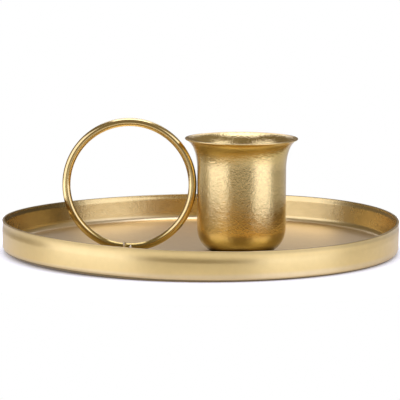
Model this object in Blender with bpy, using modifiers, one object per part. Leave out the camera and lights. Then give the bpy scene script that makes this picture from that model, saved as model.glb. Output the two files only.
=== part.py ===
"""A chamber candlestick: a round tray, a flared candle cup and an upright wire ring.

Metres, with +Z up. The origin is the middle of the tray, on the table. The cup and the ring
stand side by side on one line that runs along X, a little in front of the tray's middle.
"""

import math

import bmesh
import bpy
from mathutils import Matrix

# Clearances
GAP = 0.0003                 # air left between two pieces that touch or are welded
CANDLE_CLEARANCE = 0.0004    # on the diameter, between the candle and the cup

# Tray, pressed from one sheet
TRAY_RADIUS = 0.0535         # to the outside of the lip
TRAY_HEIGHT = 0.0083
TRAY_SHEET = 0.0007
TRAY_CORNER = 0.0017         # outside radius where the wall meets the base
LIP_HEIGHT = 0.0018          # from the top edge down to the groove under the lip
GROOVE_DEPTH = 0.0003
WALL_SWELL = 0.00022         # how far the wall comes out again below the groove
SWELL_HEIGHT = 0.0020        # from the groove down to the straight wall

# Candle cup
CANDLE_DIAMETER = 0.022      # a standard dinner candle
CUP_WALL = 0.0007
CUP_HEIGHT = 0.0305          # from its foot to the top of its lip, to a tenth of a millimetre
LIP_OVERHANG = 0.0030        # how far the lip reaches out past the body
FLARE_HEIGHT = 0.0087        # the part of the cup's height that widens
BOTTOM_ROUND_ACROSS = 0.0055
BOTTOM_ROUND_UP = 0.0065
FOOT_BAND = 0.0009           # the flat band that the cup stands on
FOOT_SLOPE = 0.0008          # across, from that band in to the raised bottom

# Ring handle
WIRE_DIAMETER = 0.0022
RING_OUTSIDE = 0.0360        # outside diameter
JOINT_X = -0.0012            # from the ring's lowest point to where the cut ends of the wire meet
END_GAP = 0.0003             # between those ends

# Welds
CUP_WELD_THICKNESS = 0.0003
CUP_WELD_INSET = 0.0004      # from the edge of the raised bottom in to the weld
BEAD_DIAMETER = 0.0012
BEAD_SPACING = 0.00175       # from the bead at the wire's joint to the one on its right

# Places
CUP_X = 0.0109
LINE_Y = -0.0068             # the line that the cup and the ring stand on

# The flare's curve, as shares of the lip's overhang and of the flare's height
FLARE_TOP_IN = 0.51          # the curve leaves the lip inwards
FLARE_TOP_DOWN = 0.06        # and only a little downwards
FLARE_BODY_DOWN = 0.43       # where it leans on the straight line of the body

# Facets
TRAY_STEPS = 72              # round the tray
CUP_STEPS = 48               # round the cup
RING_STEPS = 72              # along the ring
WIRE_RESOLUTION = 4          # which gives the wire 12 sides
EDGE_STEPS = 4               # over the sheet's cut edge
LIP_STEPS = 4                # down the tray's lip
SWELL_STEPS = 3              # from the groove to the straight wall
CORNER_STEPS = 5             # round the tray's corner
FLARE_STEPS = 9              # down the cup's flare
BOTTOM_STEPS = 7             # round the cup's bottom
WELD_SEGMENTS = 32
BEAD_SEGMENTS = 12
BEAD_RINGS = 8
MERGE = 0.00001

# Sizes that follow
BODY_RADIUS = CANDLE_DIAMETER / 2 + CANDLE_CLEARANCE / 2 + CUP_WALL
CUP_RECESS = CUP_WELD_THICKNESS + GAP
WIRE_RADIUS = WIRE_DIAMETER / 2
RING_RADIUS = RING_OUTSIDE / 2 - WIRE_RADIUS
RING_Z = TRAY_SHEET + GAP + RING_OUTSIDE / 2
RAISED_RADIUS = BODY_RADIUS - BOTTOM_ROUND_ACROSS - FOOT_BAND - FOOT_SLOPE


def clear_scene():
    for thing in list(bpy.data.objects):
        bpy.data.objects.remove(thing, do_unlink=True)


def make_collection(name):
    collection = bpy.data.collections.new(name)
    bpy.context.scene.collection.children.link(collection)
    return collection


def metal(name, colour, roughness):
    material = bpy.data.materials.new(name)
    material.use_nodes = True
    shader = material.node_tree.nodes["Principled BSDF"]
    shader.inputs["Base Color"].default_value = (*colour, 1.0)
    shader.inputs["Roughness"].default_value = roughness
    shader.inputs["Metallic"].default_value = 1.0
    return material


def add_part(name, data, material, location):
    part = bpy.data.objects.new(name, data)
    part.location = location
    data.materials.append(material)
    PARTS.objects.link(part)
    return part


def blend(start, end, share):
    """From start to end with a level beginning and a level end."""
    return start + (end - start) * (1 - math.cos(math.pi * share)) / 2


def shares(steps):
    """The even steps from 0 to 1, both included."""
    return [step / steps for step in range(steps + 1)]


def quarter_round(centre, across, up, steps):
    """A quarter of an ellipse from its side, straight up and down, to its flat bottom."""
    turns = [share * math.pi / 2 for share in shares(steps)]
    return [
        (centre[0] + across * math.cos(turn), centre[1] - up * math.sin(turn))
        for turn in turns
    ]


def bezier(points, steps):
    """Points on the cubic curve with these four control points."""
    weights = [
        ((1 - t) ** 3, 3 * t * (1 - t) ** 2, 3 * t * t * (1 - t), t ** 3)
        for t in shares(steps)
    ]
    return [
        tuple(sum(w * p[axis] for w, p in zip(weight, points)) for axis in (0, 1))
        for weight in weights
    ]


def inside_of(outline, thickness):
    """The outline moved inwards by the thickness of the sheet. The outline runs down its outer side."""
    inward = []
    for start, end in zip(outline, outline[1:]):
        length = math.dist(start, end)
        inward.append(((end[1] - start[1]) / length, (start[0] - end[0]) / length))
    moved = []
    for (x, z), before, after in zip(outline, inward[:1] + inward, inward + inward[-1:]):
        reach = thickness / (1 + before[0] * after[0] + before[1] * after[1])
        moved.append((x + reach * (before[0] + after[0]), z + reach * (before[1] + after[1])))
    return moved


def round_edge(outer, inner, steps):
    """The points of a half circle over the sheet's cut edge, from its inside to its outside."""
    middle = ((outer[0] + inner[0]) / 2, (outer[1] + inner[1]) / 2)
    radius = math.dist(outer, inner) / 2
    start = math.atan2(inner[1] - middle[1], inner[0] - middle[0])
    turns = [start - math.pi * share for share in shares(steps)[1:-1]]
    return [
        (middle[0] + radius * math.cos(turn), middle[1] + radius * math.sin(turn))
        for turn in turns
    ]


def sheet_profile(outline, thickness):
    """A closed section of bent sheet, from the axis out along its inside and back along its outside."""
    inner = inside_of(outline, thickness)
    return inner[::-1] + round_edge(outline[0], inner[0], EDGE_STEPS) + outline


def turned(name, profile, steps, material, location):
    """A piece of round section: the profile turned once about the Z axis."""
    mesh = bpy.data.meshes.new(name)
    mesh.from_pydata(
        [(x, 0.0, z) for x, z in profile],
        [(number, number + 1) for number in range(len(profile) - 1)],
        [],
    )
    part = add_part(name, mesh, material, location)
    screw = part.modifiers.new("Turn", "SCREW")
    screw.axis = "Z"
    screw.steps = steps
    screw.render_steps = steps
    screw.use_merge_vertices = True
    screw.merge_threshold = MERGE
    screw.use_smooth_shade = True
    return part


def tray_outline():
    """The tray's outside from the lip down the wall and in along the base."""
    edge = TRAY_HEIGHT - TRAY_SHEET / 2
    groove_z = TRAY_HEIGHT - LIP_HEIGHT
    groove_radius = TRAY_RADIUS - GROOVE_DEPTH
    wall_z = groove_z - SWELL_HEIGHT
    wall_radius = groove_radius + WALL_SWELL
    lip = [
        (blend(TRAY_RADIUS, groove_radius, t), edge + (groove_z - edge) * t)
        for t in shares(LIP_STEPS)
    ]
    swell = [
        (blend(groove_radius, wall_radius, t), groove_z + (wall_z - groove_z) * t)
        for t in shares(SWELL_STEPS)[1:]
    ]
    corner = quarter_round(
        (wall_radius - TRAY_CORNER, TRAY_CORNER), TRAY_CORNER, TRAY_CORNER, CORNER_STEPS
    )
    return lip + swell + corner + [(0.0, 0.0)]


def cup_outline():
    """The cup's outside from the lip down the flare, the body and the round bottom to the axis."""
    edge = CUP_HEIGHT - CUP_WALL
    reach = BODY_RADIUS + LIP_OVERHANG
    flare = bezier(
        [
            (reach, edge),
            (reach - LIP_OVERHANG * FLARE_TOP_IN, edge - FLARE_HEIGHT * FLARE_TOP_DOWN),
            (BODY_RADIUS, edge - FLARE_HEIGHT * FLARE_BODY_DOWN),
            (BODY_RADIUS, edge - FLARE_HEIGHT),
        ],
        FLARE_STEPS,
    )
    bottom = quarter_round(
        (BODY_RADIUS - BOTTOM_ROUND_ACROSS, BOTTOM_ROUND_UP),
        BOTTOM_ROUND_ACROSS,
        BOTTOM_ROUND_UP,
        BOTTOM_STEPS,
    )
    foot = (RAISED_RADIUS + FOOT_SLOPE, 0.0)
    raised = (RAISED_RADIUS, CUP_RECESS)
    return flare + bottom + [foot, raised, (0.0, CUP_RECESS)]


def ring_x():
    """Where the ring just clears the side of the cup, or its flare where that reaches further."""
    reach = RING_OUTSIDE / 2 + GAP
    places = [CUP_X - BODY_RADIUS - reach]
    for radius, z in sheet_profile(cup_outline(), CUP_WALL):
        rise = TRAY_SHEET + GAP + z - RING_Z
        if abs(rise) < reach:
            places.append(CUP_X - radius - math.sqrt(reach ** 2 - rise ** 2))
    return min(places)


def make_tray():
    profile = sheet_profile(tray_outline(), TRAY_SHEET)
    turned("tray", profile, TRAY_STEPS, metal("tray_brass", (0.78, 0.60, 0.33), 0.38), (0, 0, 0))


def make_cup():
    profile = sheet_profile(cup_outline(), CUP_WALL)
    place = (CUP_X, LINE_Y, TRAY_SHEET + GAP)
    turned("candle_cup", profile, CUP_STEPS, metal("cup_brass", (0.78, 0.58, 0.30), 0.32), place)


def make_ring():
    """One wire bent to a ring in the plane of X and Z, open by END_GAP at its joint."""
    curve = bpy.data.curves.new("ring_handle", "CURVE")
    curve.dimensions = "3D"
    curve.bevel_depth = WIRE_RADIUS
    curve.bevel_resolution = WIRE_RESOLUTION
    curve.use_fill_caps = True
    spline = curve.splines.new("POLY")
    spline.points.add(RING_STEPS)
    joint = math.asin(JOINT_X / RING_RADIUS)
    half_gap = math.asin(END_GAP / 2 / RING_RADIUS)
    for point, share in zip(spline.points, shares(RING_STEPS)):
        turn = joint + half_gap + share * 2 * (math.pi - half_gap)
        point.co = (RING_RADIUS * math.sin(turn), 0.0, -RING_RADIUS * math.cos(turn), 1.0)
    spline.use_smooth = True
    material = metal("ring_brass", (0.80, 0.60, 0.31), 0.22)
    add_part("ring_handle", curve, material, (RING_X, LINE_Y, RING_Z))


def make_bead(name, x, material):
    """A bead of weld in front of the wire, in the corner between the wire and the tray's floor."""
    radius = BEAD_DIAMETER / 2
    rise = (RING_Z - RING_RADIUS) - (TRAY_SHEET + GAP + radius)
    forward = math.sqrt((WIRE_RADIUS + GAP + radius) ** 2 - rise ** 2)
    mesh = bpy.data.meshes.new(name)
    bead = bmesh.new()
    bmesh.ops.create_uvsphere(bead, u_segments=BEAD_SEGMENTS, v_segments=BEAD_RINGS, radius=radius)
    bead.to_mesh(mesh)
    bead.free()
    mesh.shade_smooth()
    add_part(name, mesh, material, (x, LINE_Y - forward, TRAY_SHEET + GAP + radius))


def make_welds():
    material = metal("weld_brass", (0.80, 0.62, 0.38), 0.30)
    for name, place in (("ring_weld_left", 0), ("ring_weld_right", BEAD_SPACING)):
        make_bead(name, RING_X + JOINT_X + place, material)
    radius = RAISED_RADIUS - CUP_WELD_INSET
    mesh = bpy.data.meshes.new("cup_weld")
    disc = bmesh.new()
    bmesh.ops.create_cone(
        disc,
        cap_ends=True,
        segments=WELD_SEGMENTS,
        radius1=radius,
        radius2=radius,
        depth=CUP_WELD_THICKNESS,
        matrix=Matrix.Translation((0, 0, CUP_WELD_THICKNESS / 2)),
    )
    disc.to_mesh(mesh)
    disc.free()
    add_part("cup_weld", mesh, material, (CUP_X, LINE_Y, TRAY_SHEET + GAP))


clear_scene()
PARTS = make_collection("candlestick")
RING_X = ring_x()
make_tray()
make_cup()
make_ring()
make_welds()
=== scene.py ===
# %% [markdown]
# # A brass candlestick with a tray and a ring handle
#
# This file is a lesson in cells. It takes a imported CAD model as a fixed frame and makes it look
# like the real thing: a low tray of thin sheet, a flared cup for one dinner candle, and a ring of
# wire to carry it by. Everything is in metres, with Z up, and a viewer stands on the -Y side.
# Each step first says what the piece is on the real object, and then makes it.

import math

import bmesh
import bpy
from mathutils import Matrix, Vector, noise


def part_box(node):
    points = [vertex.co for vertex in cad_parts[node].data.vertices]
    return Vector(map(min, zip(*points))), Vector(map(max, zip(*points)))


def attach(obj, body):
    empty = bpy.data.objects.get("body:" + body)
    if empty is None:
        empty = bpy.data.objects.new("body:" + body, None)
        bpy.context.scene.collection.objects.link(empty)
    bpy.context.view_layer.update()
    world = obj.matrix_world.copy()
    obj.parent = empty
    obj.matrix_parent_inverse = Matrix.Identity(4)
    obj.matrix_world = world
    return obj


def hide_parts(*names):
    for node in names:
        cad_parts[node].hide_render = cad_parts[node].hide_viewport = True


MM = 1000.0

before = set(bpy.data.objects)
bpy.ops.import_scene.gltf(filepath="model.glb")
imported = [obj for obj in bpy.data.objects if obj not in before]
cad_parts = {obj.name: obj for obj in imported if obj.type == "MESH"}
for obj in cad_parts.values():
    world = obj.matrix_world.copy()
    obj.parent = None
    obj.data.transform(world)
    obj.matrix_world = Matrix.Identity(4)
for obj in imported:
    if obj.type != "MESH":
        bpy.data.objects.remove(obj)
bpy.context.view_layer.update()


def in_mm(lengths):
    """Lengths in metres as rounded millimetres, for the prints."""
    return [round(MM * length, 2) for length in lengths]


# %% [markdown]
# ## The camera
#
# The tray's rim shows as a thin ellipse, so the camera looks down by less than nine degrees. The
# near and far halves of that ellipse are almost alike, so it stands far off with a long lens. It
# is placed by its distance and elevation from the middle of the tray's base, and it aims a little
# above that point, because the object sits below the middle of the picture. A quarter of a degree
# of roll follows the photograph, whose table isn't quite level.

# %% Camera
CAMERA_DISTANCE = 1.070
CAMERA_ELEVATION = math.radians(8.81)
CAMERA_ROLL = math.radians(0.26)
CAMERA_LENS = 356.4
CAMERA_AIM = Vector((-0.00022, 0.0, 0.01390))
CAMERA_CLIP = (0.05, 20.0)


def add_camera():
    """The photograph's view, with the lens in millimetres on a 36 mm sensor."""
    data = bpy.data.cameras.new("photo_camera")
    data.lens = CAMERA_LENS
    data.clip_start, data.clip_end = CAMERA_CLIP
    camera = bpy.data.objects.new("photo_camera", data)
    bpy.context.scene.collection.objects.link(camera)
    camera.location = (
        0.0,
        -CAMERA_DISTANCE * math.cos(CAMERA_ELEVATION),
        CAMERA_DISTANCE * math.sin(CAMERA_ELEVATION),
    )
    turn = (CAMERA_AIM - camera.location).to_track_quat("-Z", "Y").to_matrix()
    roll = Matrix.Rotation(CAMERA_ROLL, 3, "Z")
    camera.rotation_euler = (turn @ roll).to_euler()
    bpy.context.scene.camera = camera
    return camera


camera = add_camera()
bpy.context.scene.view_settings.view_transform = "Standard"
print("camera at", in_mm(camera.location), "mm")

# %% [markdown]
# ## Small helpers for materials
#
# A material is a graph of nodes. Each helper below adds one kind of node and links what goes into
# it, so that the finishes further down read as short recipes.

# %% Helpers for shader nodes
def new_material(name):
    """A material, its empty node tree and its output node."""
    material = bpy.data.materials.new(name)
    material.use_nodes = True
    tree = material.node_tree
    tree.nodes.clear()
    return material, tree, tree.nodes.new("ShaderNodeOutputMaterial")


def node(tree, kind, **inputs):
    """One shader node with its sockets set by name, such as Scale=3.0."""
    made = tree.nodes.new("ShaderNode" + kind)
    for name, value in inputs.items():
        made.inputs[name.replace("_", " ")].default_value = value
    return made


print("helpers for nodes:", new_material.__name__, "and", node.__name__)

# %% [markdown]
# The helper used most is `fade`. It turns a value, such as a height, into a mask that changes from
# one number to another over a span, and keeps its end numbers outside that span. Masks are then
# multiplied, added or compared, and each of those is one small math node.

# %% Helpers for masks
def math_node(tree, operation, first, second):
    """Add, multiply or compare two sockets or numbers."""
    made = tree.nodes.new("ShaderNodeMath")
    made.operation = operation
    for socket, value in zip(made.inputs, (first, second)):
        if isinstance(value, (int, float)):
            socket.default_value = value
        else:
            tree.links.new(value, socket)
    return made.outputs[0]


def times(tree, first, *others):
    """The product of sockets and numbers."""
    for other in others:
        first = math_node(tree, "MULTIPLY", first, other)
    return first


def side_of(tree, vector, axis):
    """The X, Y or Z of a vector."""
    sides = node(tree, "SeparateXYZ")
    tree.links.new(vector, sides.inputs["Vector"])
    return sides.outputs[axis]


def fade(tree, value, span, low, high):
    """A value mapped so that it is low at the start of the span and high at its end."""
    made = node(tree, "MapRange", From_Min=span[0], From_Max=span[1], To_Min=low, To_Max=high)
    tree.links.new(value, made.inputs["Value"])
    return made.outputs["Result"]


mask_helpers = (math_node, times, side_of, fade)
print("helpers for masks:", ", ".join(helper.__name__ for helper in mask_helpers))

# %% [markdown]
# ## A white that glows
#
# The photograph is cut out on pure white. More light would make the stage white too, but it would
# bleach the metal. So the stage's whites glow instead, and only for the rays that look at them:
# Light Path tells camera rays and reflections from all others. Reflections see a weaker glow, which
# changes evenly from the front edge of a piece to its back edge.
#
# The table also carries the object. Ambient occlusion says how open each spot of it is, and the
# glow fades where the object stands close, so that its shadow stays.

# %% Glow of the stage
SHADE_REACH = 0.005
SHADE_LEAST = 0.05
SHADE_SAMPLES = 8


def glow_strength(tree, rays, seen, mirrored, span, carries):
    """The glow for the camera's rays, and the graded one for reflections."""
    depth = side_of(tree, node(tree, "TexCoord").outputs["Object"], "Y")
    mirrors = math_node(
        tree, "MAXIMUM", rays.outputs["Is Glossy Ray"], rays.outputs["Is Transmission Ray"]
    )
    mirrors = times(tree, mirrors, fade(tree, depth, (-span, span), *mirrored))
    camera_part = times(tree, rays.outputs["Is Camera Ray"], seen)
    if carries:
        near = node(tree, "AmbientOcclusion", Distance=SHADE_REACH)
        near.samples = SHADE_SAMPLES
        openness = near.outputs["AO"]
        mirrors = times(tree, mirrors, openness)
        shade = math_node(tree, "ADD", times(tree, openness, 1 - SHADE_LEAST), SHADE_LEAST)
        camera_part = times(tree, camera_part, shade)
    return math_node(tree, "MAXIMUM", camera_part, mirrors)


print("table's glow keeps", SHADE_LEAST, "of itself where the object touches it")

# %% [markdown]
# Under the glow lies a matt paint, which takes the lamps' light and the shadows as any floor does.
# A faint sheen over the table's paint sends some lamp light up to the metal. The camera doesn't see
# it, because it would grey the white.

# %% White of the stage
WHITE = (1.0, 1.0, 1.0)
SHEEN_INDEX = 1.15
SHEEN_ROUGHNESS = 0.3


def with_sheen(tree, rays, paint):
    """The paint under a sheen that is stronger at a flat angle, and that no camera ray sees."""
    sheen = node(tree, "BsdfGlossy", Color=(*WHITE, 1.0), Roughness=SHEEN_ROUGHNESS)
    share = node(tree, "Fresnel", IOR=SHEEN_INDEX).outputs[0]
    unseen = math_node(tree, "SUBTRACT", 1.0, rays.outputs["Is Camera Ray"])
    mix = node(tree, "MixShader")
    tree.links.new(times(tree, share, unseen), mix.inputs[0])
    tree.links.new(paint.outputs[0], mix.inputs[1])
    tree.links.new(sheen.outputs[0], mix.inputs[2])
    return mix


def stage_white(name, paint, seen, mirrored, span, tint=WHITE, carries=False):
    """A matt white with a glow. Mirrored is its glow in reflections, in front and at the back."""
    material, tree, output = new_material(name)
    rays = node(tree, "LightPath")
    matt = node(tree, "BsdfDiffuse", Color=(paint, paint, paint, 1.0))
    if carries:
        matt = with_sheen(tree, rays, matt)
    glow = node(tree, "Emission", Color=(*tint, 1.0))
    strength = glow_strength(tree, rays, seen, mirrored, span, carries)
    tree.links.new(strength, glow.inputs["Strength"])
    both = node(tree, "AddShader")
    tree.links.new(matt.outputs[0], both.inputs[0])
    tree.links.new(glow.outputs[0], both.inputs[1])
    tree.links.new(both.outputs[0], output.inputs["Surface"])
    return material


print("sheen over the table has a roughness of", SHEEN_ROUGHNESS)

# %% [markdown]
# ## The stage
#
# Polished metal shows what stands round it, so the stage is part of the look. The candlestick
# stands on a round white table, and past the table's edge the metal sees a dim studio, which gives
# the cup its dark middle and its brown edges. A white card far behind fills the picture's
# background. A pale floor lies below the table for the views from other sides. Its glow is a
# little cooler than white, because brass takes the blue out of what it reflects.

# %% Shapes for the stage
DISC_SEGMENTS = 160


def disc(radius, height):
    """A round flat face about the Z axis."""
    shape = bmesh.new()
    place = Matrix.Translation((0.0, 0.0, height))
    bmesh.ops.create_circle(
        shape, cap_ends=True, segments=DISC_SEGMENTS, radius=radius, matrix=place
    )
    return shape


def upright_card(size, distance, top):
    """A card one metre square, scaled to its size, that stands behind and faces the camera."""
    shape = bmesh.new()
    place = (
        Matrix.Translation((0.0, distance, top - size[1] / 2))
        @ Matrix.Rotation(math.radians(90), 4, "X")
        @ Matrix.Diagonal((size[0], size[1], 1.0, 1.0))
    )
    bmesh.ops.create_grid(shape, x_segments=1, y_segments=1, size=0.5, matrix=place)
    return shape


def stage_piece(name, shape, material):
    """The bmesh as an object that isn't part of the candlestick."""
    mesh = bpy.data.meshes.new(name)
    shape.to_mesh(mesh)
    shape.free()
    mesh.materials.append(material)
    thing = bpy.data.objects.new(name, mesh)
    bpy.context.scene.collection.objects.link(thing)
    print(name, "is", in_mm(thing.dimensions), "mm")


# %% Table, card and floor
TABLE_RADIUS = 0.086
TABLE_PAINT = 0.86
TABLE_SEEN = 0.70
TABLE_MIRRORED = (0.36, 0.16)
CARD_SIZE = (0.26, 0.28)
CARD_DISTANCE = 1.0
CARD_TOP = -0.02
CARD_PAINT = 0.0
CARD_SEEN = 1.0
CARD_MIRRORED = (1.0, 1.0)
FLOOR_RADIUS = 4.0
FLOOR_DROP = 0.32
FLOOR_PAINT = 0.80
FLOOR_SEEN = 0.80
FLOOR_MIRRORED = (0.32, 0.40)
FLOOR_SPAN = 0.4
FLOOR_TINT = (1.0, 1.08, 1.35)

table_white = stage_white(
    "table_white", TABLE_PAINT, TABLE_SEEN, TABLE_MIRRORED, TABLE_RADIUS, carries=True
)
card_white = stage_white("card_white", CARD_PAINT, CARD_SEEN, CARD_MIRRORED, CARD_DISTANCE)
floor_white = stage_white(
    "floor_white", FLOOR_PAINT, FLOOR_SEEN, FLOOR_MIRRORED, FLOOR_SPAN, tint=FLOOR_TINT
)
stage_piece("table", disc(TABLE_RADIUS, 0.0), table_white)
stage_piece("card", upright_card(CARD_SIZE, CARD_DISTANCE, CARD_TOP), card_white)
stage_piece("floor", disc(FLOOR_RADIUS, -FLOOR_DROP), floor_white)

# %% [markdown]
# ## The lights
#
# Two tall soft boxes stand left and right of the camera. They make the two pale stripes down the
# cup and the two long pale stretches of the tray's wall. The third hangs behind and above, and it
# lights the tray's floor and the back of the cup's lip. The fourth hangs over the object, and it
# brightens what looks up. A soft box's brightness is given as the brightness that a mirror would
# show, and its power follows from its area. All four are bluer than white, because brass takes the
# blue out of what it reflects, and the photograph's highlights are nearly neutral.

# %% Soft boxes
BOX_DISTANCE = 0.60
BOX_TINT = (0.96, 1.06, 1.62)
# Azimuth and elevation in degrees, then width, height and brightness. Azimuth 0 is the camera's
# side, and 90 is +X.
SOFT_BOXES = {
    "left_box": (-65, 6, 0.68, 0.94, 1.15),
    "right_box": (56, 10, 0.54, 0.82, 1.17),
    "back_box": (180, 44, 0.44, 0.36, 1.1),
    "top_box": (180, 84, 0.40, 0.42, 2.1),
}


def soft_box(name, azimuth, elevation, width, height, brightness):
    """A rectangular lamp that faces the middle of the table. It gives back its power."""
    data = bpy.data.lights.new(name, "AREA")
    data.shape = "RECTANGLE"
    data.size = width
    data.size_y = height
    data.energy = brightness * math.pi * width * height
    data.color = BOX_TINT
    lamp = bpy.data.objects.new(name, data)
    bpy.context.scene.collection.objects.link(lamp)
    turn, rise = math.radians(azimuth), math.radians(elevation)
    away = Vector((
        math.sin(turn) * math.cos(rise),
        -math.cos(turn) * math.cos(rise),
        math.sin(rise),
    ))
    lamp.location = away * BOX_DISTANCE
    lamp.rotation_euler = away.to_track_quat("Z", "Y").to_euler()
    lamp.visible_camera = False
    return data.energy


for box_name, box_facts in SOFT_BOXES.items():
    power = soft_box(box_name, *box_facts)
    print(box_name, "gives", round(power, 2), "watts")

# %% [markdown]
# ## The dim studio
#
# What the soft boxes and the table leave open, the metal fills with the room round it. The room is
# dim and warm, and the photograph shows it uneven: low down it is brighter on the left, and higher
# up it is brighter on the right. The world's colour therefore changes twice, across and upwards.
# For a world, the Generated coordinates are the direction in which a ray leaves.

# %% Dim studio
STUDIO_LOW = ((0.28, 0.235, 0.185), (0.13, 0.105, 0.08))
STUDIO_HIGH = ((0.17, 0.145, 0.12), (0.30, 0.27, 0.24))
STUDIO_ACROSS = (-1.0, 1.0)
STUDIO_RISE = (0.15, 0.55)


def add_studio():
    """A world with a left and a right colour low down, and another two high up."""
    world = bpy.data.worlds.new("studio")
    bpy.context.scene.world = world
    world.use_nodes = True
    tree = world.node_tree
    direction = node(tree, "TexCoord").outputs["Generated"]
    across = fade(tree, side_of(tree, direction, "X"), STUDIO_ACROSS, 0.0, 1.0)
    rise = fade(tree, side_of(tree, direction, "Z"), STUDIO_RISE, 0.0, 1.0)
    both = node(tree, "MixRGB")
    tree.links.new(rise, both.inputs["Fac"])
    for socket, (left, right) in (("Color1", STUDIO_LOW), ("Color2", STUDIO_HIGH)):
        level = node(tree, "MixRGB", Color1=(*left, 1.0), Color2=(*right, 1.0))
        tree.links.new(across, level.inputs["Fac"])
        tree.links.new(level.outputs["Color"], both.inputs[socket])
    dim = tree.nodes["Background"]
    dim.inputs["Strength"].default_value = 1.0
    tree.links.new(both.outputs["Color"], dim.inputs["Color"])
    return world


studio = add_studio()
print("world:", studio.name, "with", len(studio.node_tree.nodes), "nodes")

# %% [markdown]
# ## Patterns on the metal
#
# Nothing on the real metal is even, but an image of it would have to be wrapped round each piece.
# Patterns made from the place itself need no wrapping. All of them read Object coordinates, which
# are metres here, so the size of a noise is a length on the piece. A place can be squeezed before
# it is used: with its Z taken out, the distance from the origin becomes the distance from the axis.

# %% Helpers for patterns
NOISE_ROUGHNESS = 0.6
ORIGIN = (0.0, 0.0, 0.0)


def distance_from(tree, place, spot):
    """How far the place is from a spot."""
    made = tree.nodes.new("ShaderNodeVectorMath")
    made.operation = "DISTANCE"
    made.inputs[1].default_value = spot
    tree.links.new(place, made.inputs[0])
    return made.outputs["Value"]


def stretched(tree, place, amounts):
    """The place with each coordinate multiplied, to squeeze or flatten what depends on it."""
    made = tree.nodes.new("ShaderNodeVectorMath")
    made.operation = "MULTIPLY"
    made.inputs[1].default_value = amounts
    tree.links.new(place, made.inputs[0])
    return made.outputs[0]


def from_axis(tree, place):
    """How far the place is from the upright axis through the tray's middle."""
    return distance_from(tree, stretched(tree, place, (1.0, 1.0, 0.0)), ORIGIN)


def noise_of(tree, place, size, detail):
    """A noise whose lumps are about this size."""
    made = node(tree, "TexNoise", Scale=1.0 / size, Detail=detail, Roughness=NOISE_ROUGHNESS)
    tree.links.new(place, made.inputs["Vector"])
    return made.outputs["Fac"]


def facing_up(tree):
    """The upward share of the piece's own normal: 1 faces up and -1 faces down."""
    return side_of(tree, node(tree, "TexCoord").outputs["Normal"], "Z")


patterns = (distance_from, stretched, from_axis, noise_of, facing_up)
print("helpers for patterns:", ", ".join(pattern.__name__ for pattern in patterns))

# %% [markdown]
# ## Brass
#
# The whole object has one satin brass finish, but each piece took it differently: the cup has a
# fine orange peel, the sheet of the tray is softly rolled, and the wire is glossier. One function
# makes them all. Two noises, one of wide patches and one of fine mottle, shift the colour and the
# roughness a little. A slow wave and a fine grain feed two bumps, one on top of the other. What
# only one piece has comes in as a function of its own: where it is darker, where it is rougher,
# where it takes a second tone, and any streaks.

# %% Colour and bump of the brass
NOISE_RANGE = (0.3, 0.7)


def shifts(tree, place, size, detail, share):
    """A noise that goes from minus the share to plus the share."""
    return fade(tree, noise_of(tree, place, size, detail), NOISE_RANGE, -share, share)


def painted(tree, place, colour, second, tone):
    """The colour, changed to a second one where that one's mask says so, times the tone."""
    paint = tree.nodes.new("ShaderNodeVectorMath")
    paint.operation = "SCALE"
    paint.inputs[0].default_value = colour
    if second:
        other, where = second
        change = node(tree, "MixRGB", Color1=(*colour, 1.0), Color2=(*other, 1.0))
        tree.links.new(where(tree, place), change.inputs["Fac"])
        tree.links.new(change.outputs["Color"], paint.inputs[0])
    tree.links.new(tone, paint.inputs["Scale"])
    return paint.outputs[0]


def bumped(tree, layers):
    """The normal after one bump for each pattern and height, each on top of the last."""
    normal = None
    for pattern, height in layers:
        bump = node(tree, "Bump", Strength=1.0, Distance=height)
        tree.links.new(pattern, bump.inputs["Height"])
        if normal is not None:
            tree.links.new(normal, bump.inputs["Normal"])
        normal = bump.outputs["Normal"]
    return normal


print("noises are stretched from", NOISE_RANGE, "because they seldom reach 0 and 1")

# %% Brass finish
BRASS = (0.87, 0.64, 0.25)
# Deeper brass: a painted reflection of the brass tray on the cup, and on the ring the weld's heat tint
# with a painted reflection.
HEAT_TINT_AND_PAINTED_REFLECTION_BRASS = (0.82, 0.58, 0.16)
PATCH_SIZE = 0.016
PATCH_SHARE = 0.03
PATCH_DETAIL = 3.0
MOTTLE_DETAIL = 4.0
BUMP_DETAIL = 2.0
MEAN_TONE = 0.97


def brass(
    name, colour, roughness, mottle, wave, grain, darker=None, rougher=None, second=None, streaks=None
):
    """Satin brass. Mottle is a size and a share, and wave and grain are sizes and heights."""
    material, tree, output = new_material(name)
    shader = node(tree, "BsdfPrincipled", Metallic=1.0)
    place = node(tree, "TexCoord").outputs["Object"]
    patches = shifts(tree, place, PATCH_SIZE, PATCH_DETAIL, PATCH_SHARE)
    both = math_node(tree, "ADD", patches, shifts(tree, place, mottle[0], MOTTLE_DETAIL, mottle[1]))
    tone = math_node(tree, "ADD", both, MEAN_TONE)
    gloss = math_node(tree, "ADD", times(tree, both, -roughness), roughness)
    if darker:
        tone = times(tree, tone, darker(tree, place))
    if rougher:
        gloss = math_node(tree, "ADD", gloss, rougher(tree, place))
    layers = [(noise_of(tree, place, size, BUMP_DETAIL), height) for size, height in (wave, grain)]
    if streaks:
        layers.append(streaks(tree, place))
    tree.links.new(painted(tree, place, colour, second, tone), shader.inputs["Base Color"])
    tree.links.new(gloss, shader.inputs["Roughness"])
    tree.links.new(bumped(tree, layers), shader.inputs["Normal"])
    tree.links.new(shader.outputs[0], output.inputs["Surface"])
    print(name, "has", len(tree.nodes), "nodes")
    return material


print("brass is", BRASS, "and turns to", HEAT_TINT_AND_PAINTED_REFLECTION_BRASS, "where it is deeper")
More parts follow.
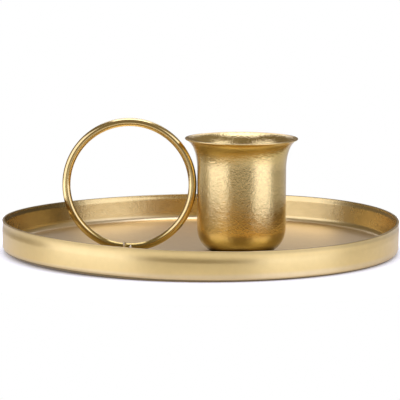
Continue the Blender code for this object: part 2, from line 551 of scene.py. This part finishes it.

# %% [markdown]
# ## The tray's finish
#
# The floor of the tray is a little duller than its wall, and it is painted paler, a painted light
# that stands in for the cooler light from above. The wall's inside is the glossiest part, with
# upright streaks from the press, and a painted dark reflection darkens it towards the left and
# right ends, where the real one shows the dark side of the room. The sheet's cut edge is darker,
# a thin band round the outside of its lip carries painted shade, and a painted shadow lies round
# the cup's foot.
#
# Each of these is a mask made of one or more fades, over a height, from side to side or over the
# distance from the axis. The numbers are places in metres. A tone is what is left of the
# brightness there, and a loss is what it takes away.

# %% Painted dark reflection at the ends of the tray's wall
WALL_INSIDE = (0.05284, 0.05300)
LEFT_END = (-0.0320, -0.0400)
LEFT_END_PAINTED_DARK = 0.54
RIGHT_END = (0.0330, 0.0430)
RIGHT_END_PAINTED_DARK = 0.36
END_FOOT = (0.0020, 0.0030)


def painted_dark_wall_ends(tree, place):
    """Painted dark reflection on the inside of the wall at its left and right ends, as a loss."""
    x = side_of(tree, place, "X")
    end = math_node(
        tree,
        "MAXIMUM",
        fade(tree, x, LEFT_END, 0.0, LEFT_END_PAINTED_DARK),
        fade(tree, x, RIGHT_END, 0.0, RIGHT_END_PAINTED_DARK),
    )
    inside = fade(tree, from_axis(tree, place), WALL_INSIDE, 1.0, 0.0)
    wall = fade(tree, side_of(tree, place, "Z"), END_FOOT, 0.0, 1.0)
    return times(tree, end, times(tree, inside, wall))


print("wall's inside darkens past", in_mm((LEFT_END[0], RIGHT_END[0])), "mm from the middle")

# %% Painted shade and a dark cut edge on the tray
# A painted shadow round the cup's foot, darkest at its middle.
FOOT_SPOT = Vector((0.0109, -0.0068, 0.0010))
FOOT_PAINTED_SHADOW = (0.0074, 0.0098)
FOOT_SHADOW_TONE = 0.25
CUT_EDGE_INSIDE = (0.05280, 0.05288)
CUT_EDGE_OUTSIDE = (0.05314, 0.05322)
CUT_EDGE_TONE = 0.45
# A painted shade on a thin band round the outside of the lip.
LIP_BAND_ACROSS = (0.05334, 0.05346)
LIP_BAND_HEIGHT = (0.0066, 0.0073)
LIP_BAND_PAINTED_SHADE = 0.22


def all_but(tree, loss):
    """What a loss leaves."""
    return math_node(tree, "SUBTRACT", 1.0, loss)


def tray_painted_shade_and_dark_edge(tree, place):
    """Painted shadow round the cup's foot, a darker cut edge, painted shade on the lip band, and the
    painted dark reflection at the wall's ends.
    """
    foot = fade(tree, distance_from(tree, place, FOOT_SPOT), FOOT_PAINTED_SHADOW, FOOT_SHADOW_TONE, 1.0)
    across = from_axis(tree, place)
    edge = math_node(
        tree,
        "MAXIMUM",
        fade(tree, across, CUT_EDGE_INSIDE, 1.0, CUT_EDGE_TONE),
        fade(tree, across, CUT_EDGE_OUTSIDE, 0.0, 1.0),
    )
    lip = times(
        tree,
        fade(tree, across, LIP_BAND_ACROSS, 0.0, 1.0),
        fade(tree, side_of(tree, place, "Z"), LIP_BAND_HEIGHT, 0.0, LIP_BAND_PAINTED_SHADE),
    )
    rest = times(tree, all_but(tree, painted_dark_wall_ends(tree, place)), all_but(tree, lip))
    return times(tree, rest, times(tree, foot, edge))


# How far the painted shadow round the cup's foot reaches.
print("dirt reaches", in_mm(FOOT_PAINTED_SHADOW), "mm from the middle of the cup's foot")

# %% Tray finish
# Painted light: the floor's paler colour stands in for the cooler light that falls on it from above.
TRAY_FLOOR_LIT_BRASS = (0.86, 0.66, 0.33)
FLOOR_TOP = (0.0016, 0.0024)
FLOOR_DULLER = 0.01
WALL_FOOT = (0.0022, 0.0030)
WALL_GLOSSIER = -0.05
STREAKS_FROM = (0.0505, 0.0515)
STREAKS_TO = (0.0529, 0.0531)
STREAK_SIZE = 0.0009
STREAK_SQUEEZE = 0.45
STREAK_HEIGHT = 0.000028


def tray_rougher(tree, place):
    """The floor is duller than the wall, and the wall's inside is glossier than its outside."""
    height = side_of(tree, place, "Z")
    floor = fade(tree, height, FLOOR_TOP, FLOOR_DULLER, 0.0)
    wall = fade(tree, height, WALL_FOOT, 0.0, WALL_GLOSSIER)
    inside = fade(tree, from_axis(tree, place), WALL_INSIDE, 1.0, 0.0)
    return math_node(tree, "ADD", floor, times(tree, wall, inside))


def tray_floor_share(tree, place):
    """One on the floor and nothing on the wall."""
    return fade(tree, side_of(tree, place, "Z"), FLOOR_TOP, 1.0, 0.0)


def tray_streaks(tree, place):
    """Upright marks of the press on the inside of the wall: a pattern and its height."""
    across = from_axis(tree, place)
    inside = times(
        tree,
        fade(tree, across, STREAKS_FROM, 0.0, 1.0),
        fade(tree, across, STREAKS_TO, 1.0, 0.0),
    )
    squeezed = stretched(tree, place, (1.0, 1.0, STREAK_SQUEEZE))
    return times(tree, noise_of(tree, squeezed, STREAK_SIZE, BUMP_DETAIL), inside), STREAK_HEIGHT


TRAY_BRASS = brass(
    "tray_brass",
    BRASS,
    roughness=0.32,
    mottle=(0.0016, 0.02),
    wave=(0.006, 0.00004),
    grain=(0.0004, 0.000005),
    darker=tray_painted_shade_and_dark_edge,
    rougher=tray_rougher,
    second=(TRAY_FLOOR_LIT_BRASS, tray_floor_share),
    streaks=tray_streaks,
)

# %% [markdown]
# ## Turned pieces
#
# The tray and the cup are both round, so each starts as half a cross-section, drawn as a line of
# points in the XZ plane, and a full spin about the vertical axis makes the rest. The helpers
# below draw the round stretches of such a line. With use_merge the spin closes on itself. A point
# on the axis stays where it is as it is spun and comes out as many copies, so the doubles are
# merged, and then the faces are turned to look outwards.

# %% Helpers for drawn lines
def steps(count):
    """The even shares from 0 to 1, both included."""
    return [number / count for number in range(count + 1)]


def ease(start, end, share):
    """From start to end with a level beginning and a level end."""
    return start + (end - start) * (1 - math.cos(math.pi * share)) / 2


def arc(centre, radius, start, end, count):
    """Points on a circle, with the angles in degrees from +X towards +Z."""
    angles = [math.radians(start + (end - start) * share) for share in steps(count)]
    return [
        (centre[0] + radius * math.cos(angle), centre[1] + radius * math.sin(angle))
        for angle in angles
    ]


quarter = arc((0.0, 0.0), 1.0, 0, 90, count=2)
print("halfway along a quarter circle:", [round(side, 3) for side in quarter[1]])

# %% Helper for a full turn
DOUBLES_WITHIN = 1e-7


def turned(line, segments, centre=ORIGIN):
    """A closed piece: the line, which starts and ends on the axis, spun about it once."""
    shape = bmesh.new()
    verts = [shape.verts.new((x, 0.0, z)) for x, z in line]
    edges = [shape.edges.new(pair) for pair in zip(verts, verts[1:])]
    bmesh.ops.spin(
        shape,
        geom=verts + edges,
        cent=ORIGIN,
        axis=(0.0, 0.0, 1.0),
        angle=2 * math.pi,
        steps=segments,
        use_merge=True,
        use_duplicate=False,
    )
    bmesh.ops.remove_doubles(shape, verts=shape.verts, dist=DOUBLES_WITHIN)
    bmesh.ops.recalc_face_normals(shape, faces=shape.faces)
    bmesh.ops.translate(shape, verts=shape.verts, vec=centre)
    return shape


print("points closer than", DOUBLES_WITHIN, "metres are merged")

# %% [markdown]
# ## The tray
#
# The tray is pressed from one sheet. Its low wall ends in a small rounded lip, with a shallow
# groove under it, and it turns into the flat base over a round corner. Inside, the wall leans out
# a little, as any pressed wall does so that it comes off its tool, and meets the floor in a small
# cove. The floor sags a little towards the middle. The line is drawn in two parts, from the cut
# edge down the outside and from the cut edge down the inside, and both end in the middle of the
# base. A Screw modifier could turn the line too, but the spin gives the mesh at once.

# %% Tray outside
tray_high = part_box("tray")[1]
TRAY_RADIUS = tray_high.x
TRAY_HEIGHT = tray_high.z
EDGE_ROUND = 0.00014
LIP_TURN = 12
LIP_HEIGHT = 0.0019
GROOVE_DEPTH = 0.00019
GROOVE_HEIGHT = 0.0015
WALL_SWELL = 0.00009
TRAY_CORNER = 0.0014
LIP_STEPS = 5
GROOVE_STEPS = 10
WALL_STEPS = 8
CORNER_STEPS = 12
BASE_STEPS = 12


def eased(start, end, count):
    """Points from one corner to another, along a line that is upright at both ends."""
    return [(ease(start[0], end[0], t), start[1] + (end[1] - start[1]) * t) for t in steps(count)]


def tray_outside():
    """From the top of the cut edge down the outside to the middle of the base."""
    edge = (TRAY_RADIUS - EDGE_ROUND, TRAY_HEIGHT - EDGE_ROUND)
    groove = (TRAY_RADIUS - GROOVE_DEPTH, TRAY_HEIGHT - LIP_HEIGHT)
    wall = (groove[0] + WALL_SWELL, groove[1] - GROOVE_HEIGHT)
    corner = (wall[0] - TRAY_CORNER, TRAY_CORNER)
    line = arc(edge, EDGE_ROUND, 90, -LIP_TURN, LIP_STEPS)
    top = line[-1]
    for t in steps(GROOVE_STEPS)[1:]:
        across = groove[0] + (top[0] - groove[0]) * (1 - t) ** 2
        line.append((across, top[1] + (groove[1] - top[1]) * t))
    line += eased(groove, wall, WALL_STEPS)[1:]
    line += arc(corner, TRAY_CORNER, 0, -90, CORNER_STEPS)
    return line + [(corner[0] * (1 - t), 0.0) for t in steps(BASE_STEPS)[1:]]


outside_line = tray_outside()
print("tray:", round(MM * TRAY_RADIUS, 2), "mm in radius, with", len(outside_line), "points outside")

# %% Tray inside
WALL_SHEET = 0.0007
LIP_INSIDE = 0.0015
LIP_LEAN = 0.00034
WALL_DRAFT = 0.00045
COVE_RADIUS = 0.0017
COVE_TURN = 3
FLOOR_EDGE = 0.00125
FLOOR_MIDDLE = 0.00098
SAG_FROM = 0.024
EDGE_STEPS = 4
COVE_STEPS = 10
FLOOR_STEPS = 24


def tray_inside():
    """From the top of the cut edge down the inside to the middle of the floor."""
    edge = TRAY_RADIUS - WALL_SHEET
    wall = (edge - LIP_LEAN, TRAY_HEIGHT - LIP_INSIDE)
    cove = (wall[0] - WALL_DRAFT - COVE_RADIUS, FLOOR_EDGE + COVE_RADIUS)
    middle = (edge + EDGE_ROUND, TRAY_HEIGHT - EDGE_ROUND)
    line = arc(middle, EDGE_ROUND, 90, 180, EDGE_STEPS)
    line += eased(line[-1], wall, WALL_STEPS)[1:]
    line += arc(cove, COVE_RADIUS, -COVE_TURN, -90, COVE_STEPS)
    for t in steps(FLOOR_STEPS)[1:]:
        across = cove[0] * (1 - t)
        sag = min(1.0, max(0.0, (cove[0] - across) / (cove[0] - SAG_FROM)))
        line.append((across, ease(FLOOR_EDGE, FLOOR_MIDDLE, sag)))
    return line


inside_line = tray_inside()
print("tray's floor: from", in_mm([FLOOR_EDGE]), "to", in_mm([FLOOR_MIDDLE]), "mm high")

# %% [markdown]
# ## Making the tray real
#
# A tray of thin sheet is never quite true. This one is twisted a little: its rim is high at two
# opposite corners and low at the two between them, and the whole rim is a touch higher than drawn.
# Where it is low the tray still stands on the table, so only the wall gets shorter there, and
# where it is high it lifts off by half a millimetre. The groove under the lip was pressed deepest
# in front, a little to the left, and it fades away on both sides. Both are small moves of the
# points of the spun mesh, by rules that follow the angle round the axis.

# %% Tray twist
TWIST_HEIGHT = 0.00055
TWIST_TOWARDS = math.radians(30)
TWIST_STIFF = 0.0013
RIM_RISE = 0.00008
GROOVE_FROM = 0.988
GROOVE_MIDDLE = 0.0064
GROOVE_SPREAD = 0.0021
GROOVE_DEEP_SIDE = math.radians(258)
GROOVE_FADE = 0.85
GROOVE_POWER = 6


def twisted(shape):
    """The tray's bmesh with its twist, its raised rim and its fading groove."""
    for vert in shape.verts:
        around = math.atan2(vert.co.y, vert.co.x)
        across = math.hypot(vert.co.x, vert.co.y) / TRAY_RADIUS
        lift = (RIM_RISE + TWIST_HEIGHT * math.cos(2 * (around - TWIST_TOWARDS))) * across ** 2
        if lift < 0:
            lift *= ease(0.0, 1.0, min(1.0, vert.co.z / TWIST_STIFF))
        vert.co.z += lift
        height = (vert.co.z - GROOVE_MIDDLE) / GROOVE_SPREAD
        if across > GROOVE_FROM and abs(height) < 1:
            depth_left = ((1 + math.cos(around - GROOVE_DEEP_SIDE)) / 2) ** GROOVE_POWER
            filled = GROOVE_FADE * (1 - depth_left) * GROOVE_DEPTH
            filled *= (1 + math.cos(math.pi * height)) / 2
            vert.co.x += filled * math.cos(around)
            vert.co.y += filled * math.sin(around)
    return shape


print("tray's rim goes up by", in_mm([RIM_RISE + TWIST_HEIGHT]), "mm at its two high corners")

# %% [markdown]
# ## From a bmesh to a piece
#
# A bmesh is only a workbench. To be seen it becomes a mesh in an object, with a material. The
# object then rides on the root body, and the CAD node it stands for is hidden. It stays at the
# origin, with its place in its mesh.

# %% Tray piece
TRAY_SEGMENTS = 288


def finished(name, shape, material, replaced):
    """The bmesh as an object that replaces a CAD node and rides with the body."""
    mesh = bpy.data.meshes.new(name)
    shape.to_mesh(mesh)
    shape.free()
    mesh.shade_smooth()
    mesh.materials.append(material)
    piece = bpy.data.objects.new(name, mesh)
    bpy.context.scene.collection.objects.link(piece)
    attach(piece, "root")
    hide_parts(replaced)
    print(name, len(mesh.vertices), "points,", len(mesh.polygons), "faces")


tray_shape = twisted(turned(outside_line[::-1] + inside_line, TRAY_SEGMENTS))
finished("tray_sheet", tray_shape, TRAY_BRASS, "tray")

# %% [markdown]
# ## The cup's finish
#
# The cup shows a fine orange peel, which breaks up the edges of its highlights. Its lip and the
# round of its bottom were rubbed brighter than its body. The lower body and the underside of the lip
# take a deeper colour, a painted reflection of the brass tray, and the faces that turn down get
# painted shade. A dark painted shadow lies round the foot. It is on the outside only, and the
# normal tells the two sides of the bottom apart: inside, the metal faces up.
#
# Ring and cup touch on the real object. The models keep a narrow slit there, and a painted shade
# along the slit makes it read as contact. The distance from one spot would make a ball of painted
# shade. With the height squeezed first, the ball becomes a long upright one.

# %% Cup masks
SLIT_SQUEEZE = 0.12
SLIT_HEIGHT = 0.0190
SLIT_SPOT = Vector((-0.0011, -0.0068, SLIT_HEIGHT * SLIT_SQUEEZE))
SLIT_WIDTH = (0.0004, 0.0014)
SLIT_SHADE_TONE = 0.30
CUP_FOOT_SHADE = (0.0021, 0.0040)
CUP_FOOT_SHADE_TONE = 0.12
CUP_TONE = 0.95
TURNING_UP = (0.0, 0.2)
TURNING_DOWN = (-0.06, -0.35)
UNDERSIDE_SHADE_TONE = 0.93


def slit_shade(tree, place):
    """Painted shade in the narrow slit where ring and cup almost touch."""
    near = distance_from(tree, stretched(tree, place, (1.0, 1.0, SLIT_SQUEEZE)), SLIT_SPOT)
    return fade(tree, near, SLIT_WIDTH, SLIT_SHADE_TONE, 1.0)


def cup_tone_and_painted_shade(tree, place):
    """The cup's own tone, with a painted shadow on the outside of its foot, and painted shade on the
    faces that turn down and in the slit.
    """
    foot = fade(tree, side_of(tree, place, "Z"), CUP_FOOT_SHADE, CUP_FOOT_SHADE_TONE, CUP_TONE)
    inside = fade(tree, facing_up(tree), TURNING_UP, 0.0, CUP_TONE)
    foot = math_node(tree, "MAXIMUM", foot, inside)
    under = fade(tree, facing_up(tree), TURNING_DOWN, 1.0, UNDERSIDE_SHADE_TONE)
    return times(tree, foot, under, slit_shade(tree, place))


print("slit's shade ends", in_mm(SLIT_WIDTH)[1], "mm from the slit's middle")

# %% Cup finish
BOTTOM_GLOSS = (0.0060, 0.0090)
BOTTOM_GLOSSIER = -0.09
LIP_GLOSS = (0.0285, 0.0300)
LIP_GLOSSIER = -0.05
BOTTOM_PAINTED_REFLECTION = (0.0130, 0.0085)
BOTTOM_PAINTED_REFLECTION_SHARE = 0.4


def cup_rougher(tree, place):
    """The lip and the round of the bottom were rubbed brighter than the body."""
    height = side_of(tree, place, "Z")
    bottom = fade(tree, height, BOTTOM_GLOSS, BOTTOM_GLOSSIER, 0.0)
    lip = fade(tree, height, LIP_GLOSS, 0.0, LIP_GLOSSIER)
    return math_node(tree, "ADD", bottom, lip)


def cup_painted_reflection_share(tree, place):
    """A painted reflection of the brass tray: the deeper colour on the lower body and under the lip."""
    low = fade(tree, side_of(tree, place, "Z"), BOTTOM_PAINTED_REFLECTION, 0.0, BOTTOM_PAINTED_REFLECTION_SHARE)
    under = fade(tree, facing_up(tree), TURNING_DOWN, 0.0, 1.0)
    return math_node(tree, "MAXIMUM", low, under)


CUP_BRASS = brass(
    "cup_brass",
    BRASS,
    roughness=0.245,
    mottle=(0.0006, 0.07),
    wave=(0.0012, 0.00005),
    grain=(0.0005, 0.000075),
    darker=cup_tone_and_painted_shade,
    rougher=cup_rougher,
    second=(HEAT_TINT_AND_PAINTED_REFLECTION_BRASS, cup_painted_reflection_share),
)

# %% [markdown]
# ## The cup
#
# The cup is formed from sheet too. It has a straight body, a lip that flares out to a thin edge
# and a well rounded bottom, which stands on a narrow band round a raised middle. Only the line of
# its outside is worked out. The inside is the same line moved in by the thickness of the sheet,
# which grows from the thin lip to the body, and a small half circle closes the cut edge. A
# Solidify modifier could give the thickness too, but not one that changes along the sheet.

# %% Helpers for a bent sheet
def smooth_curve(points, count):
    """Points on the cubic curve that starts at the first of four points and ends at the last."""
    made = []
    for t in steps(count):
        weights = ((1 - t) ** 3, 3 * t * (1 - t) ** 2, 3 * t * t * (1 - t), t ** 3)
        made.append(tuple(sum(w * p[axis] for w, p in zip(weights, points)) for axis in (0, 1)))
    return made


def moved_in(line, thicknesses):
    """A line moved to its inner side, by its own thickness at each point."""
    normals = []
    for start, end in zip(line, line[1:]):
        length = math.dist(start, end)
        normals.append(((end[1] - start[1]) / length, (start[0] - end[0]) / length))
    made = []
    for (x, z), before, after, thickness in zip(
        line, normals[:1] + normals, normals + normals[-1:], thicknesses
    ):
        reach = thickness / (1 + before[0] * after[0] + before[1] * after[1])
        made.append((x + reach * (before[0] + after[0]), z + reach * (before[1] + after[1])))
    return made


def half_round(inner, outer, count):
    """Points over the cut edge of a sheet, from its inner to its outer side."""
    middle = ((inner[0] + outer[0]) / 2, (inner[1] + outer[1]) / 2)
    start = math.degrees(math.atan2(inner[1] - middle[1], inner[0] - middle[0]))
    return arc(middle, math.dist(inner, outer) / 2, start, start - 180, count)[1:-1]


EDGE_ROUND_STEPS = 8
top_of_edge = max(z for x, z in half_round((0.0, 0.0), (1.0, 0.0), EDGE_ROUND_STEPS))
print("a half circle over an edge 1 wide is", round(top_of_edge, 3), "high")

# %% Cup outside
cup_low, cup_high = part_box("candle_cup")
CUP_CENTRE = ((cup_low.x + cup_high.x) / 2, (cup_low.y + cup_high.y) / 2, cup_low.z)
CUP_HEIGHT = cup_high.z - cup_low.z
LIP_SPREAD = 0.00015
LIP_RADIUS = (cup_high.x - cup_low.x) / 2 + LIP_SPREAD
BODY_RADIUS = 0.0119
LIP_EDGE = 0.0004
FLARE_HEIGHT = 0.0076
FLARE_TOP_IN = 0.80
FLARE_TOP_DOWN = 0.125
FLARE_BODY_DOWN = 0.68
BOTTOM_ACROSS = 0.0055
BOTTOM_UP = 0.0065
FOOT_BAND = 0.0009
FOOT_SLOPE = 0.0008
FOOT_RISE = 0.0006
FLARE_STEPS = 24
BODY_STEPS = 8
BOTTOM_STEPS = 16


def cup_outside():
    """From the lip down the flare, the body and the round bottom to the raised middle."""
    reach = LIP_RADIUS - LIP_EDGE / 2
    edge = CUP_HEIGHT - LIP_EDGE
    over = reach - BODY_RADIUS
    flare = smooth_curve(
        [
            (reach, edge),
            (reach - over * FLARE_TOP_IN, edge - FLARE_HEIGHT * FLARE_TOP_DOWN),
            (BODY_RADIUS, edge - FLARE_HEIGHT * FLARE_BODY_DOWN),
            (BODY_RADIUS, edge - FLARE_HEIGHT),
        ],
        FLARE_STEPS,
    )
    body_top = flare[-1][1]
    body = [
        (BODY_RADIUS, body_top + (BOTTOM_UP - body_top) * t) for t in steps(BODY_STEPS)[1:-1]
    ]
    bottom = [
        (
            BODY_RADIUS - BOTTOM_ACROSS + BOTTOM_ACROSS * math.cos(turn),
            BOTTOM_UP - BOTTOM_UP * math.sin(turn),
        )
        for turn in [share * math.pi / 2 for share in steps(BOTTOM_STEPS)]
    ]
    raised = bottom[-1][0] - FOOT_BAND - FOOT_SLOPE
    foot = [(raised + FOOT_SLOPE, 0.0)]
    foot += [(across, FOOT_RISE) for across in (raised, raised / 2, 0.0)]
    return flare + body + bottom + foot


print("cup:", round(MM * CUP_HEIGHT, 2), "mm high, with", len(cup_outside()), "points outside")

# %% Cup line
CUP_WALL = 0.0007
LIP_THINS_OVER = 20


def cup_line():
    """The whole cross-section, from the middle of the inside over the lip to the base."""
    outside = cup_outside()
    sheet = [
        ease(LIP_EDGE, CUP_WALL, min(1.0, number / LIP_THINS_OVER))
        for number in range(len(outside))
    ]
    inside = moved_in(outside, sheet)
    return inside[::-1] + half_round(inside[0], outside[0], EDGE_ROUND_STEPS) + outside


print("cup's whole line has", len(cup_line()), "points")

# %% [markdown]
# ## Making the cup real
#
# The flare was beaten out a little to one side, so the lip sits off the body's middle. It is also a
# little higher in front than at the back, and a little narrower from front to back than across.
# Above the foot of the flare each point moves by a share that grows with its height, so the body
# stays straight.

# %% Cup piece
CUP_SEGMENTS = 192
LIP_SHIFT = -0.00010
LIP_BACK_RISE = 0.00012
LIP_FRONT_RISE = 0.00033
LIP_SQUEEZE = 0.035


def leaning(shape):
    """The cup's bmesh with its lip shifted, tipped up in front and squeezed front to back."""
    start = CUP_CENTRE[2] + CUP_HEIGHT - FLARE_HEIGHT
    for vert in shape.verts:
        share = max(0.0, (vert.co.z - start) / FLARE_HEIGHT)
        forward = CUP_CENTRE[1] - vert.co.y
        vert.co.x += LIP_SHIFT * share ** 2
        vert.co.y += LIP_SQUEEZE * forward * share
        rise = LIP_BACK_RISE + LIP_FRONT_RISE * (1 + forward / LIP_RADIUS) / 2
        vert.co.z += rise * share
    return shape


print("cup's lip rises by", in_mm([LIP_BACK_RISE, LIP_BACK_RISE + LIP_FRONT_RISE]), "mm, back and front")
cup_shape = leaning(turned(cup_line(), CUP_SEGMENTS, CUP_CENTRE))
finished("cup_shell", cup_shape, CUP_BRASS, "candle_cup")

# %% [markdown]
# ## The ring
#
# The ring is one length of drawn wire, the glossiest metal here, bent round until its ends meet
# near the bottom. The heat of the weld has browned it there, and its lower part also gets painted
# shade and a painted reflection of the brass tray. A second tone and a darker one show both, and
# both fade with height.

# %% Ring finish
RING_COLOUR = (0.86, 0.63, 0.24)
HEAT_AND_SHADE_SPAN = (0.0016, 0.0060)
HEAT_AND_SHADE_TONE = 0.55
HEAT_AND_REFLECTION_TINT = (0.0020, 0.0080)


def ring_heat_and_painted_shade(tree, place):
    """Darker towards the bottom, partly the weld's heat and partly painted shade, and painted shade
    where it almost meets the cup.
    """
    heat = fade(tree, side_of(tree, place, "Z"), HEAT_AND_SHADE_SPAN, HEAT_AND_SHADE_TONE, 1.0)
    return times(tree, heat, slit_shade(tree, place))


def ring_heat_and_reflection_share(tree, place):
    """The deeper colour towards the bottom: the weld's heat tint and a painted reflection of the tray.
    """
    return fade(tree, side_of(tree, place, "Z"), HEAT_AND_REFLECTION_TINT, 1.0, 0.0)


RING_BRASS = brass(
    "ring_brass",
    RING_COLOUR,
    roughness=0.16,
    mottle=(0.0016, 0.03),
    wave=(0.003, 0.00001),
    grain=(0.0005, 0.000003),
    darker=ring_heat_and_painted_shade,
    second=(HEAT_TINT_AND_PAINTED_REFLECTION_BRASS, ring_heat_and_reflection_share),
)

# %% [markdown]
# A circle for the wire's section, spun about the ring's own axis and stopped a little short of a
# full turn, makes the ring, and both end faces stay as the cut ends. A torus would have no ends,
# and a curve with a round bevel would need its caps added. The joint lies a little to the left of
# the ring's lowest point. The foot of the ring is slightly flat where it stands, so the points
# near the joint move up a little, and those to either side of them down by less.

# %% Wire section
ring_low, ring_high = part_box("ring_handle")
WIRE_RADIUS = (ring_high.y - ring_low.y) / 2
RING_RADIUS = (ring_high.z - ring_low.z) / 2 - WIRE_RADIUS
WIRE_SEGMENTS = 28


def wire_section(turn):
    """The round cut end of the wire at the bottom of the ring, turned about the ring's axis."""
    shape = bmesh.new()
    across = Matrix.Rotation(math.radians(90), 4, "Y")
    bmesh.ops.create_circle(
        shape,
        cap_ends=True,
        segments=WIRE_SEGMENTS,
        radius=WIRE_RADIUS,
        matrix=Matrix.Translation((0.0, 0.0, -RING_RADIUS)) @ across,
    )
    bmesh.ops.rotate(
        shape, verts=shape.verts, cent=ORIGIN, matrix=Matrix.Rotation(turn, 3, "Y")
    )
    return shape


print("ring:", round(2 * MM * RING_RADIUS, 2), "mm across the middle of its wire")

# %% Ring piece
RING_CENTRE = Vector([(low + high) / 2 for low, high in zip(ring_low, ring_high)])
RING_NUDGE = Vector((0.00018, 0.0, -0.00008))
RING_STEPS = 256
JOINT_SIDE = -0.0012
JOINT_TURN = math.asin(JOINT_SIDE / RING_RADIUS)
JOINT_GAP = 0.00006
FLAT_RISE = 0.00008
FLAT_SHARE = 0.26


def ring_shape():
    """The bent wire with its gap at the joint and its flattened foot."""
    gap_turn = JOINT_GAP / RING_RADIUS
    shape = wire_section(-JOINT_TURN - gap_turn / 2)
    bmesh.ops.spin(
        shape,
        geom=shape.verts[:] + shape.edges[:] + shape.faces[:],
        cent=ORIGIN,
        axis=(0.0, 1.0, 0.0),
        angle=-(2 * math.pi - gap_turn),
        steps=RING_STEPS,
        use_merge=False,
        use_duplicate=False,
    )
    bmesh.ops.recalc_face_normals(shape, faces=shape.faces)
    for vert in shape.verts:
        past = (math.atan2(vert.co.x, -vert.co.z) - JOINT_TURN) / FLAT_SHARE
        vert.co.z += FLAT_RISE * (1 - past ** 2) * math.exp(-past ** 2 / 2)
    bmesh.ops.translate(shape, verts=shape.verts, vec=RING_CENTRE + RING_NUDGE)
    return shape


finished("ring_wire", ring_shape(), RING_BRASS, "ring_handle")

# %% [markdown]
# ## The welds
#
# Where the wire's ends meet, the weld left two small nibs; their paler colour is a painted
# highlight. Molten metal draws itself round, but it never sets as a perfect ball, so each nib
# starts as an icosphere, gets a little noise and is then stretched to its own size. One runs over
# the joint and down the front of the wire, and the other sits low on the wire to its right. The weld
# under the cup keeps its CAD shape, which is right, and only its material slot gets the new finish.

# %% Weld finish
WELD_PAINTED_HIGHLIGHT_COLOUR = (0.86, 0.74, 0.52)
WELD_PAINTED_HIGHLIGHT_BRASS = brass(
    "weld_brass",
    WELD_PAINTED_HIGHLIGHT_COLOUR,
    roughness=0.30,
    mottle=(0.0016, 0.03),
    wave=(0.0008, 0.00002),
    grain=(0.0003, 0.00001),
)

# %% Weld nibs
NIB_SUBDIVISIONS = 4
NIB_NOISE = 0.12
NIB_LUMPS = 1.3
JOINT_NIB_PLACE = (-0.02056, -0.0074, 0.00262)
JOINT_NIB_HALVES = (0.00030, 0.00076, 0.00090)
JOINT_NIB_SEED = 3.0
FOOT_NIB_PLACE = (-0.01880, -0.0079, 0.00205)
FOOT_NIB_HALVES = (0.00042, 0.00052, 0.00066)
FOOT_NIB_SEED = 8.0


def nib(place, halves, seed):
    """A lumpy drop with these half sizes. The seed is where its noise is read."""
    shape = bmesh.new()
    bmesh.ops.create_icosphere(shape, subdivisions=NIB_SUBDIVISIONS, radius=1.0)
    for vert in shape.verts:
        lumps = noise.noise(vert.co * NIB_LUMPS + Vector((seed, 0.0, 0.0)))
        vert.co *= 1 + NIB_NOISE * lumps
    bmesh.ops.scale(shape, verts=shape.verts, vec=halves)
    bmesh.ops.translate(shape, verts=shape.verts, vec=place)
    return shape


joint_drop = nib(JOINT_NIB_PLACE, JOINT_NIB_HALVES, JOINT_NIB_SEED)
finished("joint_nib", joint_drop, WELD_PAINTED_HIGHLIGHT_BRASS, "ring_weld_left")
foot_drop = nib(FOOT_NIB_PLACE, FOOT_NIB_HALVES, FOOT_NIB_SEED)
finished("foot_nib", foot_drop, WELD_PAINTED_HIGHLIGHT_BRASS, "ring_weld_right")

# %% Weld under the cup
cup_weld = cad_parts["cup_weld"]
for weld_slot in cup_weld.material_slots:
    weld_slot.material = WELD_PAINTED_HIGHLIGHT_BRASS
print("cup_weld keeps its shape, with", len(cup_weld.data.polygons), "faces")
